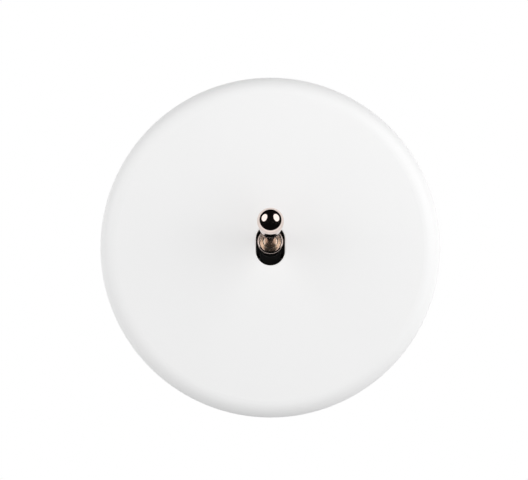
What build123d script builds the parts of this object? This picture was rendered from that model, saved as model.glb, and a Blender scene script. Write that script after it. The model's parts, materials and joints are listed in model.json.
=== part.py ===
from build123d import *

import os
from math import cos, radians, sin, sqrt, tan

# Lever pushbutton for a flush wall box: a round porcelain plate with a slot, and a sprung, ball-ended
# lever that is pressed down to close a contact and comes back up by itself.
# X points right, Z up and Y into the wall. The origin is the plate's centre on the wall surface.
# Lengths are millimetres and angles degrees. Front and back are depths along Y.

# Cover plate
PLATE_DIAMETER = 100.0
PLATE_DEPTH = 9.0
PLATE_FACE_WALL = 4.0
PLATE_RIM_WALL = 5.0
PLATE_EDGE_RADIUS = 5.0
PLATE_INNER_RADIUS = 1.5
PLATE_FOOT_RADIUS = 0.8
SLOT_WIDTH = 8.5
SLOT_LENGTH = 12.0
SLOT_RISE = 0.8
SLOT_EDGE_RADIUS = 0.4
SLOT_RELIEF = 2.0

# Lever, with reaches measured along its own axis from the pivot
LEVER_RISE = 17.0
LEVER_TRAVEL = 25.0
PIVOT_DEPTH = 6.9
BALL_DIAMETER = 7.8
BALL_REACH = 26.2
HANDLE_TAPER = 7.0
HANDLE_REACH = 17.5
HANDLE_END_RADIUS = 6.0
NECK_DIAMETER = 3.2
NECK_REACH = 14.0
NECK_RADIUS = 3.0
COLLAR_DIAMETER = 7.6
COLLAR_REACH = 5.2
COLLAR_LIP_RADIUS = 0.5
COLLAR_EDGE_RADIUS = 0.2
DISH_SLOPE = 28.0
DISH_REACH = 5.8
DISH_ROOT_RADIUS = 0.5
STUD_DIAMETER = 3.0
STUD_LENGTH = 2.8

# Cradle, its pivot pin and the threaded insert that takes the lever's stud
PIN_DIAMETER = 2.0
HUB_DIAMETER = 5.2
HUB_WIDTH = 10.0
BOSS_DIAMETER = 6.4
INSERT_DIAMETER = 4.6
INSERT_LENGTH = 3.2
FINGER_REACH = 7.0
FINGER_WIDTH = 6.0
FINGER_ROOT = 3.6
NOSE_DIAMETER = 2.4

# Support frame, sized round the screws of the wall box
BOX_SCREW_SPACING = 60.0
BOX_SLOT_LENGTH = 8.0
BOX_SLOT_WIDTH = 4.0
BOX_SLOT_LAND = 1.0
FRAME_CLEARANCE = 2.0
FRAME_THICKNESS = 1.2
FRAME_FLANGE_DEPTH = 3.2
FRAME_LAP_SIDE = 7.0
FRAME_LAP_END = 5.0
OPENING_CORNER_RADIUS = 3.0

# Clip ring, bonded to the plate's ceiling, with four snap legs
RING_OUTER_DIAMETER = 66.0
RING_WIDTH = 7.0
RING_THICKNESS = 1.6
LEG_ACROSS = 10.0
LEG_UP = 27.0
LEG_WIDTH = 6.0
LEG_THICKNESS = 1.3
LEG_BARB = 0.7
LEG_TAIL = 1.8

# Housing: a front cover with the pivot ears, and a base with the contact chambers
HOUSING_SIZE = 44.0
HOUSING_CORNER_RADIUS = 8.0
HOUSING_BACK = 24.0
HOUSING_BACK_WALL = 3.5
HOUSING_TAPER = 1.0
HOUSING_EDGE_RADIUS = 1.0
HOUSING_SIDE_WALL = 7.5
HOUSING_TOP_WALL = 5.7
COVER_THICKNESS = 2.2
EAR_THICKNESS = 3.0
EAR_RADIUS = 2.2
PANEL_MARGIN = 4.0
PANEL_DEPTH = 0.6
GRIP_COUNT = 5
GRIP_PITCH = 4.0
GRIP_WIDTH = 2.0
GRIP_DEPTH = 0.8
GAUGE_LENGTH = 10.0
GAUGE_WIDTH = 2.6
GAUGE_DEPTH = 0.8

# Plunger and its return spring
PLUNGER_WIDTH = 8.0
PLUNGER_HEIGHT = 7.0
PLUNGER_LENGTH = 9.8
SHOULDER_OVERHANG = 0.9
SHOULDER_THICKNESS = 0.9
STEM_DIAMETER = 3.6
STEM_LENGTH = 4.5
RETURN_SPRING_DIAMETER = 6.4
RETURN_SPRING_WIRE = 0.6
RETURN_SPRING_TURNS = 4

# Contacts and terminals
STRIP_WIDTH = 5.0
STRIP_THICKNESS = 0.8
STRIP_BEND_RADIUS = 0.6
TIP_DIAMETER = 3.4
TIP_HEIGHT = 0.6
RIVET_DIAMETER = 1.6
CONTACT_SPRING_DIAMETER = 4.4
CONTACT_SPRING_WIRE = 0.4
CONTACT_SPRING_TURNS = 2
CONTACT_SPRING_LENGTH = 2.8
TERMINAL_WIDTH = 8.0
TERMINAL_HEIGHT = 8.5
TERMINAL_LENGTH = 10.0
WIRE_DIAMETER = 3.2
CLAMP_SCREW_DIAMETER = 3.0
CLAMP_HEAD_DIAMETER = 4.8
CLAMP_HEAD_HEIGHT = 2.0
CLAMP_HEAD_GAP = 0.9

# Screws that hold the frame, the cover and the base together
FRAME_SCREW_INSET = 3.2
FRAME_SCREW_DIAMETER = 2.2
FRAME_SCREW_LENGTH = 10.0
FRAME_HEAD_DIAMETER = 4.2
FRAME_HEAD_HEIGHT = 1.4
DRIVE_WIDTH = 0.7
DRIVE_DEPTH = 0.7

# Clearances
RUNNING_CLEARANCE = 0.05
SEAT_CLEARANCE = 0.02
SLIDING_CLEARANCE = 0.2
LOOSE_CLEARANCE = 0.4
CONTACT_GAP = 0.1
SWING_CLEARANCE = 0.6

# Places that follow from the sizes above
PLATE_FRONT = -PLATE_DEPTH
PLATE_CEILING = PLATE_FRONT + PLATE_FACE_WALL
CAVITY_RADIUS = PLATE_DIAMETER / 2 - PLATE_RIM_WALL
PIVOT_Y = PLATE_FRONT + PIVOT_DEPTH
LEVER_FRAME = Pos(0, PIVOT_Y, 0) * Rot(-LEVER_RISE, 0, 0)
RING_BACK = PLATE_CEILING + RING_THICKNESS
FRAME_FRONT = -FRAME_THICKNESS
FRAME_SIZE = BOX_SCREW_SPACING + BOX_SLOT_LENGTH + 2 * BOX_SLOT_LAND
FRAME_REACH = CAVITY_RADIUS - FRAME_CLEARANCE
FRAME_CORNER_RADIUS = max((FRAME_SIZE / sqrt(2) - FRAME_REACH) / (sqrt(2) - 1), FRAME_FLANGE_DEPTH)
OPENING_WIDTH = HOUSING_SIZE - 2 * FRAME_LAP_SIDE
OPENING_HEIGHT = HOUSING_SIZE - 2 * FRAME_LAP_END
FRAME_SCREW_ACROSS = HOUSING_SIZE / 2 - FRAME_SCREW_INSET
EAR_INNER = HUB_WIDTH / 2 + LOOSE_CLEARANCE
POCKET_FLOOR = PIVOT_Y + HUB_DIAMETER / 2 + SWING_CLEARANCE
PLUNGER_Z = -FINGER_REACH
PLUNGER_FRONT = PIVOT_Y + NOSE_DIAMETER / 2 + CONTACT_GAP
PLUNGER_BACK = PLUNGER_FRONT + PLUNGER_LENGTH
PLUNGER_STROKE = FINGER_REACH * sin(radians(LEVER_TRAVEL))
SHOULDER_FRONT = COVER_THICKNESS + CONTACT_GAP
WINDOW_FRONT = SHOULDER_FRONT + SHOULDER_THICKNESS + 2 * SLIDING_CLEARANCE
BRIDGE_FRONT = WINDOW_FRONT + CONTACT_SPRING_LENGTH
BRIDGE_BACK = BRIDGE_FRONT + STRIP_THICKNESS
FIXED_TIP_FRONT = BRIDGE_BACK + TIP_HEIGHT + PLUNGER_STROKE + CONTACT_GAP
FIXED_FRONT = FIXED_TIP_FRONT + TIP_HEIGHT
FIXED_BACK = FIXED_FRONT + STRIP_THICKNESS
SPRING_SEAT = HOUSING_BACK - HOUSING_BACK_WALL
CONTACT_ACROSS = HOUSING_SIZE / 2 - HOUSING_SIDE_WALL - TERMINAL_WIDTH / 2
TERMINAL_BACK = SPRING_SEAT - SLIDING_CLEARANCE
TERMINAL_FRONT = TERMINAL_BACK - TERMINAL_LENGTH
TERMINAL_TOP = HOUSING_SIZE / 2 - HOUSING_TOP_WALL
TERMINAL_BOTTOM = TERMINAL_TOP - TERMINAL_HEIGHT
TERMINAL_FLOOR = TERMINAL_BOTTOM - STRIP_THICKNESS
WIRE_Z = TERMINAL_BOTTOM + TERMINAL_HEIGHT / 2
CLAMP_Y = (TERMINAL_FRONT + TERMINAL_BACK) / 2
ENTRY_DIAMETER = WIRE_DIAMETER + 2 * SLIDING_CLEARANCE
FUNNEL_RADIUS = ENTRY_DIAMETER / 2 + HOUSING_BACK_WALL / 2
BASE_BACK_SIZE = HOUSING_SIZE - 2 * HOUSING_TAPER
CLAMP_HEAD_Z = TERMINAL_TOP + CLAMP_HEAD_GAP


def front_slab(outline, front, back):
    """A front-view outline (x right, z up) made solid between two depths."""
    return extrude(Plane.XZ.offset(-back) * outline, back - front)


def side_slab(outline, left, right):
    """A side-view outline (y across, z up) made solid between two x positions."""
    return extrude(Plane.YZ.offset(left) * outline, right - left)


def polygon(*corners):
    """A flat face through its corners."""
    return make_face(Polyline(*corners, close=True))


def corner(outline, x, y):
    """The outline's corner nearest to a point."""
    return outline.vertices().sort_by_distance((x, y, 0))[0]


def both_sides(piece):
    """A piece and its mirror image across the middle plane x = 0."""
    return piece + mirror(piece, about=Plane.YZ)


def round_along_y(x, z, diameter, front, back):
    """A round bar or hole along Y."""
    return front_slab(Pos(x, z) * Circle(diameter / 2), front, back)


def cover_plate():
    """Porcelain disc with a rounded front edge, a hollow back and a slot relieved behind for the lever."""
    radius = PLATE_DIAMETER / 2
    section = polygon(
        (0, PLATE_FRONT),
        (radius, PLATE_FRONT),
        (radius, 0),
        (CAVITY_RADIUS, 0),
        (CAVITY_RADIUS, PLATE_CEILING),
        (0, PLATE_CEILING),
    )
    section = fillet(corner(section, radius, PLATE_FRONT), PLATE_EDGE_RADIUS)
    section = fillet(corner(section, radius, 0), PLATE_FOOT_RADIUS)
    section = fillet(corner(section, CAVITY_RADIUS, PLATE_CEILING), PLATE_INNER_RADIUS)
    slot = Pos(0, SLOT_RISE) * SlotOverall(SLOT_LENGTH, SLOT_WIDTH, rotation=90)
    plate = revolve(section, Axis.Y) - front_slab(slot, PLATE_FRONT, PLATE_CEILING)
    plate = chamfer(slot_edges(plate, PLATE_CEILING), SLOT_RELIEF)
    return fillet(slot_edges(plate, PLATE_FRONT), SLOT_EDGE_RADIUS)


def slot_edges(plate, depth):
    """The edges round the slot at one depth of the plate."""
    level = plate.edges().filter_by_position(Axis.Y, depth - SEAT_CLEARANCE, depth + SEAT_CLEARANCE)
    return level.filter_by(lambda edge: edge.bounding_box().size.X <= SLOT_LENGTH)


def clip_ring():
    """Moulded ring with four barbed legs that snap behind the support frame."""
    outer_radius = RING_OUTER_DIAMETER / 2
    ring = front_slab(Circle(outer_radius) - Circle(outer_radius - RING_WIDTH), PLATE_CEILING, RING_BACK)
    outer = LEG_UP + LEG_THICKNESS
    leg_outline = polygon(
        (PLATE_CEILING, LEG_UP),
        (LEG_TAIL, LEG_UP),
        (LEG_TAIL, LEG_UP + LEG_THICKNESS / 2),
        (CONTACT_GAP, outer + LEG_BARB),
        (CONTACT_GAP, outer),
        (PLATE_CEILING, outer),
    )
    leg = side_slab(leg_outline, LEG_ACROSS - LEG_WIDTH / 2, LEG_ACROSS + LEG_WIDTH / 2)
    upper_legs = both_sides(leg)
    return ring + upper_legs + mirror(upper_legs, about=Plane.XY)


def support_frame():
    """Pressed steel frame with box screw slots, leg windows and folded top and bottom edges."""
    outline = RectangleRounded(FRAME_SIZE, FRAME_SIZE, FRAME_CORNER_RADIUS)
    outline -= RectangleRounded(OPENING_WIDTH, OPENING_HEIGHT, OPENING_CORNER_RADIUS)
    window = Rectangle(
        LEG_WIDTH + 2 * LOOSE_CLEARANCE, LEG_THICKNESS + LEG_BARB + 2 * LOOSE_CLEARANCE
    )
    window_z = LEG_UP + (LEG_THICKNESS - LEG_BARB) / 2
    for side in (-1, 1):
        outline -= Pos(side * BOX_SCREW_SPACING / 2, 0) * SlotOverall(BOX_SLOT_LENGTH, BOX_SLOT_WIDTH)
        outline -= Pos(side * FRAME_SCREW_ACROSS, 0) * Circle(FRAME_SCREW_DIAMETER / 2 + SLIDING_CLEARANCE)
        for rise in (-1, 1):
            outline -= Pos(side * LEG_ACROSS, rise * window_z) * window
    edge = FRAME_SIZE / 2
    fold = polygon(
        (0, edge - 2 * FRAME_THICKNESS),
        (0, edge),
        (-FRAME_FLANGE_DEPTH, edge),
        (-FRAME_FLANGE_DEPTH, edge - FRAME_THICKNESS),
        (FRAME_FRONT, edge - FRAME_THICKNESS),
        (FRAME_FRONT, edge - 2 * FRAME_THICKNESS),
    )
    fold = fillet(corner(fold, 0, edge), FRAME_THICKNESS * 0.9)
    straight = edge - FRAME_CORNER_RADIUS
    flange = side_slab(fold, -straight, straight)
    plate = front_slab(outline, FRAME_FRONT, 0)
    trim = side_slab(
        Pos(-FRAME_THICKNESS / 2, edge - FRAME_THICKNESS) * Rectangle(FRAME_THICKNESS, 2 * FRAME_THICKNESS),
        -straight,
        straight,
    )
    plate = plate - trim - mirror(trim, about=Plane.XY)
    return plate + flange + mirror(flange, about=Plane.XY)


def housing_cover():
    """Moulded front cover with two ears for the pivot pin and the plunger's guide."""
    flange = RectangleRounded(HOUSING_SIZE, HOUSING_SIZE, HOUSING_CORNER_RADIUS)
    plateau = RectangleRounded(
        OPENING_WIDTH - 2 * SLIDING_CLEARANCE,
        OPENING_HEIGHT - 2 * SLIDING_CLEARANCE,
        OPENING_CORNER_RADIUS - SLIDING_CLEARANCE,
    )
    cover = front_slab(flange, 0, COVER_THICKNESS) + front_slab(plateau, FRAME_FRONT, 0)
    ear = Pos(PIVOT_Y, 0) * Circle(EAR_RADIUS) + polygon(
        (PIVOT_Y, -EAR_RADIUS), (0, -2 * EAR_RADIUS), (0, 2 * EAR_RADIUS), (PIVOT_Y, EAR_RADIUS)
    )
    cover += both_sides(side_slab(ear, EAR_INNER, EAR_INNER + EAR_THICKNESS))
    pocket_top = HUB_DIAMETER / 2 + SWING_CLEARANCE
    guide_top = PLUNGER_Z + PLUNGER_HEIGHT / 2 + SLIDING_CLEARANCE
    pocket_bottom = min(guide_top, -pocket_top)
    pocket = Pos(0, (pocket_top + pocket_bottom) / 2) * Rectangle(2 * EAR_INNER, pocket_top - pocket_bottom)
    guide = Pos(0, PLUNGER_Z) * Rectangle(
        PLUNGER_WIDTH + 2 * SLIDING_CLEARANCE, PLUNGER_HEIGHT + 2 * SLIDING_CLEARANCE
    )
    cover -= front_slab(pocket, FRAME_FRONT, POCKET_FLOOR)
    cover -= front_slab(guide, FRAME_FRONT, COVER_THICKNESS)
    pin_end = EAR_INNER + EAR_THICKNESS
    cover -= side_slab(
        Pos(PIVOT_Y, 0) * Circle(PIN_DIAMETER / 2 + SEAT_CLEARANCE), -pin_end, pin_end
    )
    hole = FRAME_SCREW_DIAMETER + 2 * SLIDING_CLEARANCE
    return cover - both_sides(round_along_y(FRAME_SCREW_ACROSS, 0, hole, 0, COVER_THICKNESS))


def housing_base():
    """Moulded base with the plunger channel, contact chambers, terminal pockets and wire entries."""
    front_outline = Plane.XZ.offset(-COVER_THICKNESS) * RectangleRounded(
        HOUSING_SIZE, HOUSING_SIZE, HOUSING_CORNER_RADIUS
    )
    back_outline = Plane.XZ.offset(-HOUSING_BACK) * RectangleRounded(
        BASE_BACK_SIZE, BASE_BACK_SIZE, HOUSING_CORNER_RADIUS - HOUSING_TAPER
    )
    base = loft([front_outline, back_outline])
    base = fillet(base.edges().group_by(Axis.Y)[-1], HOUSING_EDGE_RADIUS)

    shoulder_width = PLUNGER_WIDTH + 2 * SHOULDER_OVERHANG + 2 * LOOSE_CLEARANCE
    channel = Pos(0, PLUNGER_Z) * Rectangle(shoulder_width, PLUNGER_HEIGHT + 2 * SLIDING_CLEARANCE)
    channel_back = PLUNGER_BACK + PLUNGER_STROKE + LOOSE_CLEARANCE
    base -= front_slab(channel, COVER_THICKNESS, channel_back)
    well = RETURN_SPRING_DIAMETER + 2 * SLIDING_CLEARANCE
    base -= round_along_y(0, PLUNGER_Z, well, COVER_THICKNESS, SPRING_SEAT)
    spigot = RETURN_SPRING_DIAMETER - 2 * RETURN_SPRING_WIRE - 2 * SLIDING_CLEARANCE
    spigot_front = PLUNGER_BACK + STEM_LENGTH + PLUNGER_STROKE + SWING_CLEARANCE
    base += round_along_y(0, PLUNGER_Z, spigot, spigot_front, SPRING_SEAT)

    strip_room = STRIP_WIDTH + 2 * SLIDING_CLEARANCE
    strip_bottom = PLUNGER_Z - STRIP_WIDTH / 2 - LOOSE_CLEARANCE
    chamber_reach = CONTACT_ACROSS + STRIP_WIDTH / 2 + LOOSE_CLEARANCE
    chamber = Pos(0, PLUNGER_Z) * Rectangle(2 * chamber_reach, STRIP_WIDTH + 2 * LOOSE_CLEARANCE)
    base -= front_slab(chamber, COVER_THICKNESS, FIXED_TIP_FRONT + TIP_HEIGHT)
    strip_height = TERMINAL_FLOOR - strip_bottom
    strip = Pos(CONTACT_ACROSS, strip_bottom + strip_height / 2) * Rectangle(strip_room, strip_height)
    pocket_top = TERMINAL_TOP + SLIDING_CLEARANCE
    pocket = Pos(CONTACT_ACROSS, (TERMINAL_FLOOR + pocket_top) / 2) * Rectangle(
        TERMINAL_WIDTH + 2 * SLIDING_CLEARANCE, pocket_top - TERMINAL_FLOOR
    )
    side = front_slab(strip, COVER_THICKNESS, FIXED_BACK)
    side += front_slab(pocket, COVER_THICKNESS, SPRING_SEAT)
    side += round_along_y(CONTACT_ACROSS, WIRE_Z, ENTRY_DIAMETER, SPRING_SEAT, HOUSING_BACK)
    funnel = Cone(ENTRY_DIAMETER / 2, FUNNEL_RADIUS, HOUSING_BACK_WALL / 2, rotation=(-90, 0, 0))
    side += Pos(CONTACT_ACROSS, HOUSING_BACK - HOUSING_BACK_WALL / 4, WIRE_Z) * funnel
    access = CLAMP_HEAD_DIAMETER + 2 * SLIDING_CLEARANCE
    access_height = HOUSING_SIZE / 2 - TERMINAL_TOP
    side += Pos(CONTACT_ACROSS, CLAMP_Y, TERMINAL_TOP + access_height / 2) * Cylinder(
        access / 2, access_height
    )
    screw_end = FRAME_FRONT + FRAME_SCREW_LENGTH + SLIDING_CLEARANCE
    screw_hole = FRAME_SCREW_DIAMETER + 2 * SEAT_CLEARANCE
    side += round_along_y(FRAME_SCREW_ACROSS, 0, screw_hole, COVER_THICKNESS, screw_end)
    side += grip_grooves(screw_end + HOUSING_BACK_WALL)
    return base - both_sides(side) - back_panel() - strip_gauge()


def grip_grooves(front):
    """The grooves down the base's right side that give the fingers a hold, open towards the back."""
    floor = BASE_BACK_SIZE / 2 - GRIP_DEPTH
    groove = Box(
        HOUSING_SIZE / 2 - floor, HOUSING_BACK - front, GRIP_WIDTH, align=(Align.MIN, Align.MIN, Align.CENTER)
    )
    first = -(GRIP_COUNT - 1) / 2 * GRIP_PITCH
    return Part() + [Pos(floor, front, first + place * GRIP_PITCH) * groove for place in range(GRIP_COUNT)]


def back_panel():
    """The shallow recess in the base's back, below the wire entries."""
    top = WIRE_Z - FUNNEL_RADIUS - PANEL_MARGIN / 2
    bottom = PANEL_MARGIN - BASE_BACK_SIZE / 2
    outline = RectangleRounded(
        BASE_BACK_SIZE - 2 * PANEL_MARGIN, top - bottom, HOUSING_CORNER_RADIUS - HOUSING_TAPER - PANEL_MARGIN
    )
    return front_slab(Pos(0, (top + bottom) / 2) * outline, HOUSING_BACK - PANEL_DEPTH, HOUSING_BACK)


def strip_gauge():
    """The groove in the base's top that shows how much insulation to strip, open towards the back."""
    floor = BASE_BACK_SIZE / 2 - GAUGE_DEPTH
    end = GAUGE_WIDTH / 2
    outline = Pos(0, HOUSING_BACK - (GAUGE_LENGTH - end) / 2) * Rectangle(GAUGE_WIDTH, GAUGE_LENGTH - end)
    outline += Pos(0, HOUSING_BACK - GAUGE_LENGTH + end) * Circle(end)
    return extrude(Plane.XY.offset(floor) * outline, HOUSING_SIZE / 2 - floor)


def pivot_pin():
    """Steel pin across the two ears."""
    length = 2 * (EAR_INNER + EAR_THICKNESS)
    pin = Cylinder(PIN_DIAMETER / 2, length, rotation=(0, 90, 0))
    pin = chamfer(pin.edges().filter_by(GeomType.CIRCLE), PIN_DIAMETER / 10)
    return Pos(0, PIVOT_Y, 0) * pin


def cradle():
    """Moulded cradle: a hub on the pin, a boss for the lever and a finger that pushes the plunger."""
    hub = side_slab(Pos(PIVOT_Y, 0) * Circle(HUB_DIAMETER / 2), -HUB_WIDTH / 2, HUB_WIDTH / 2)
    nose = NOSE_DIAMETER / 2
    finger = Pos(PIVOT_Y, PLUNGER_Z) * Circle(nose) + polygon(
        (PIVOT_Y + nose - FINGER_ROOT, 0),
        (PIVOT_Y - nose, PLUNGER_Z),
        (PIVOT_Y + nose, PLUNGER_Z),
        (PIVOT_Y + nose, 0),
    )
    body = hub + side_slab(finger, -FINGER_WIDTH / 2, FINGER_WIDTH / 2)
    boss = turned_about_lever(
        (0, 0), (BOSS_DIAMETER / 2, 0), (BOSS_DIAMETER / 2, COLLAR_REACH), (0, COLLAR_REACH)
    )
    bore = INSERT_DIAMETER / 2 + SEAT_CLEARANCE
    insert_seat = COLLAR_REACH - INSERT_LENGTH
    body = body + boss - turned_about_lever(
        (0, insert_seat), (bore, insert_seat), (bore, COLLAR_REACH), (0, COLLAR_REACH)
    )
    pin_hole = Pos(PIVOT_Y, 0) * Circle(PIN_DIAMETER / 2 + RUNNING_CLEARANCE)
    return body - side_slab(pin_hole, -HUB_WIDTH / 2, HUB_WIDTH / 2)


def turned_about_lever(*corners):
    """A solid turned about the lever's axis from corners given as radius and reach from the pivot."""
    section = polygon(*[(radius, -reach) for radius, reach in corners])
    return LEVER_FRAME * revolve(section, Axis.Y)


def lever_insert():
    """Brass threaded bush moulded into the cradle's boss."""
    bore = STUD_DIAMETER / 2 + SEAT_CLEARANCE
    back = COLLAR_REACH - INSERT_LENGTH
    return turned_about_lever(
        (bore, back), (INSERT_DIAMETER / 2, back), (INSERT_DIAMETER / 2, COLLAR_REACH), (bore, COLLAR_REACH)
    )


def lever():
    """Turned and polished lever: ball, tapering handle, neck, dished collar and threaded stud."""
    ball = BALL_DIAMETER / 2
    neck = NECK_DIAMETER / 2
    collar = COLLAR_DIAMETER / 2
    stud = STUD_DIAMETER / 2
    taper = radians(HANDLE_TAPER)
    cone_radius = ball * cos(taper)
    cone_reach = BALL_REACH - ball * sin(taper)
    handle = cone_radius - (cone_reach - HANDLE_REACH) * tan(taper)
    lip_reach = DISH_REACH + (collar - neck) * tan(radians(DISH_SLOPE))
    stud_end = COLLAR_REACH - STUD_LENGTH
    outline = [
        CenterArc((0, -BALL_REACH), ball, -90, 90 + HANDLE_TAPER),
        Polyline(
            (cone_radius, -cone_reach),
            (handle, -HANDLE_REACH),
            (neck, -NECK_REACH),
            (neck, -DISH_REACH),
            (collar, -lip_reach),
            (collar, -COLLAR_REACH),
            (stud, -COLLAR_REACH),
            (stud, -stud_end),
            (0, -stud_end),
            (0, -BALL_REACH - ball),
        ),
    ]
    section = make_face(Curve() + outline)
    section = fillet(corner(section, handle, -HANDLE_REACH), HANDLE_END_RADIUS)
    section = fillet(corner(section, neck, -NECK_REACH), NECK_RADIUS)
    section = fillet(corner(section, neck, -DISH_REACH), DISH_ROOT_RADIUS)
    section = fillet(corner(section, collar, -lip_reach), COLLAR_LIP_RADIUS)
    section = fillet(corner(section, collar, -COLLAR_REACH), COLLAR_EDGE_RADIUS)
    return LEVER_FRAME * revolve(section, Axis.Y)


def plunger():
    """Moulded slider with a window for the contact bridge, a retaining shoulder and a spring stem."""
    body_outline = Pos(0, PLUNGER_Z) * RectangleRounded(PLUNGER_WIDTH, PLUNGER_HEIGHT, SLIDING_CLEARANCE * 2)
    shoulder_outline = Pos(0, PLUNGER_Z) * Rectangle(PLUNGER_WIDTH + 2 * SHOULDER_OVERHANG, PLUNGER_HEIGHT)
    body = front_slab(body_outline, PLUNGER_FRONT, PLUNGER_BACK)
    body += front_slab(shoulder_outline, SHOULDER_FRONT, SHOULDER_FRONT + SHOULDER_THICKNESS)
    body += round_along_y(0, PLUNGER_Z, STEM_DIAMETER, PLUNGER_BACK, PLUNGER_BACK + STEM_LENGTH)
    window = Pos((WINDOW_FRONT + BRIDGE_BACK) / 2, PLUNGER_Z) * Rectangle(
        BRIDGE_BACK - WINDOW_FRONT, STRIP_WIDTH + SLIDING_CLEARANCE
    )
    return body - side_slab(window, -PLUNGER_WIDTH / 2, PLUNGER_WIDTH / 2)


def coil_spring(diameter, wire, turns, front, back):
    """A compression spring of six-sided wire about the plunger's axis, between the planes front and back."""
    rise = back - front - wire
    path = Helix(
        rise / turns,
        rise,
        (diameter - wire) / 2,
        center=(0, front + wire / 2, PLUNGER_Z),
        direction=(0, 1, 0),
    )
    section = Plane(path @ 0, z_dir=path % 0) * RegularPolygon(wire / 2, 6)
    return sweep(section, path, is_frenet=True)


def return_spring():
    """Spring that pushes the plunger, and through it the lever, back to rest."""
    return coil_spring(
        RETURN_SPRING_DIAMETER, RETURN_SPRING_WIRE, RETURN_SPRING_TURNS, PLUNGER_BACK, SPRING_SEAT
    )


def contact_spring():
    """Spring in the plunger's window that presses the bridge on to the fixed contacts."""
    return coil_spring(
        CONTACT_SPRING_DIAMETER, CONTACT_SPRING_WIRE, CONTACT_SPRING_TURNS, WINDOW_FRONT, BRIDGE_FRONT
    )


def contact_bridge():
    """Copper strip that the plunger carries across the two fixed contacts."""
    outline = Pos(0, PLUNGER_Z) * RectangleRounded(
        2 * CONTACT_ACROSS + STRIP_WIDTH, STRIP_WIDTH, STRIP_WIDTH / 4
    )
    bridge = front_slab(outline, BRIDGE_FRONT, BRIDGE_BACK)
    return bridge - both_sides(rivet_shank(BRIDGE_FRONT, BRIDGE_BACK))


def rivet_shank(front, back):
    """The right-hand contact rivet's shank, or the hole that it fills."""
    return round_along_y(CONTACT_ACROSS, PLUNGER_Z, RIVET_DIAMETER, front, back)


def contact_tip(face, strip_near, strip_far):
    """A silver contact rivet at the right: a crowned head from its face to the strip, and a shank through it."""
    crown = (strip_near - face) / 3
    edge = face + crown
    section = make_face(
        Curve()
        + [
            ThreePointArc((-TIP_DIAMETER / 2, edge), (0, face), (TIP_DIAMETER / 2, edge)),
            Polyline(
                (TIP_DIAMETER / 2, edge),
                (TIP_DIAMETER / 2, strip_near),
                (-TIP_DIAMETER / 2, strip_near),
                (-TIP_DIAMETER / 2, edge),
            ),
        ]
    )
    half = section & Pos(TIP_DIAMETER / 2, (edge + strip_near) / 2) * Rectangle(TIP_DIAMETER, 4 * TIP_HEIGHT)
    head = Pos(CONTACT_ACROSS, 0, PLUNGER_Z) * revolve(half, Axis.Y)
    return head + rivet_shank(min(strip_near, strip_far), max(strip_near, strip_far))


def bridge_tips():
    """The two contact rivets on the bridge."""
    return both_sides(contact_tip(BRIDGE_BACK + TIP_HEIGHT, BRIDGE_BACK, BRIDGE_FRONT))


def fixed_tips():
    """The two contact rivets on the fixed contacts."""
    return both_sides(contact_tip(FIXED_TIP_FRONT, FIXED_FRONT, FIXED_BACK))


def fixed_contact():
    """The right-hand brass strip, bent from the contact rivet up and back under the terminal."""
    bottom = PLUNGER_Z - STRIP_WIDTH / 2
    strip = polygon(
        (FIXED_FRONT, bottom),
        (FIXED_BACK, bottom),
        (FIXED_BACK, TERMINAL_FLOOR),
        (TERMINAL_BACK, TERMINAL_FLOOR),
        (TERMINAL_BACK, TERMINAL_BOTTOM),
        (FIXED_FRONT, TERMINAL_BOTTOM),
    )
    strip = fillet(corner(strip, FIXED_FRONT, TERMINAL_BOTTOM), STRIP_BEND_RADIUS)
    half = STRIP_WIDTH / 2
    return side_slab(strip, CONTACT_ACROSS - half, CONTACT_ACROSS + half) - rivet_shank(
        FIXED_FRONT, FIXED_BACK
    )


def terminal():
    """The right-hand brass clamp block with a wire bore from the back and a screw hole from above."""
    outline = Pos(CONTACT_ACROSS, WIRE_Z) * RectangleRounded(TERMINAL_WIDTH, TERMINAL_HEIGHT, STRIP_BEND_RADIUS)
    block = front_slab(outline, TERMINAL_FRONT, TERMINAL_BACK)
    block -= round_along_y(CONTACT_ACROSS, WIRE_Z, WIRE_DIAMETER, TERMINAL_FRONT, TERMINAL_BACK)
    hole_height = TERMINAL_TOP - WIRE_Z
    hole = Cylinder(CLAMP_SCREW_DIAMETER / 2 + SEAT_CLEARANCE, hole_height)
    return block - Pos(CONTACT_ACROSS, CLAMP_Y, WIRE_Z + hole_height / 2) * hole


def slotted_screw(head_diameter, head_height, diameter, length):
    """A screw with its seat at the origin, its head towards +Z and a driver slot across the head."""
    head = Pos(0, 0, head_height / 2) * Cylinder(head_diameter / 2, head_height)
    head = chamfer(head.edges().group_by(Axis.Z)[-1], head_height / 4)
    drive = Pos(0, 0, head_height - DRIVE_DEPTH / 2) * Box(head_diameter, DRIVE_WIDTH, DRIVE_DEPTH)
    shank = Pos(0, 0, -length / 2) * Cylinder(diameter / 2, length)
    shank = chamfer(shank.edges().group_by(Axis.Z)[0], diameter / 8)
    return head - drive + shank


def terminal_screw():
    """The right-hand clamp screw, backed off so that its tip stands clear of the wire bore."""
    length = CLAMP_HEAD_Z - WIRE_Z - WIRE_DIAMETER / 2 - CONTACT_GAP
    screw = slotted_screw(CLAMP_HEAD_DIAMETER, CLAMP_HEAD_HEIGHT, CLAMP_SCREW_DIAMETER, length)
    return Pos(CONTACT_ACROSS, CLAMP_Y, CLAMP_HEAD_Z) * screw


def frame_screws():
    """The two screws through the frame and the cover into the base."""
    screw = slotted_screw(FRAME_HEAD_DIAMETER, FRAME_HEAD_HEIGHT, FRAME_SCREW_DIAMETER, FRAME_SCREW_LENGTH)
    return both_sides(Pos(FRAME_SCREW_ACROSS, FRAME_FRONT, 0) * Rot(90, 0, 0) * screw)


def left_of(piece):
    """A right-hand piece's left-hand twin."""
    return mirror(piece, about=Plane.YZ)


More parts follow.
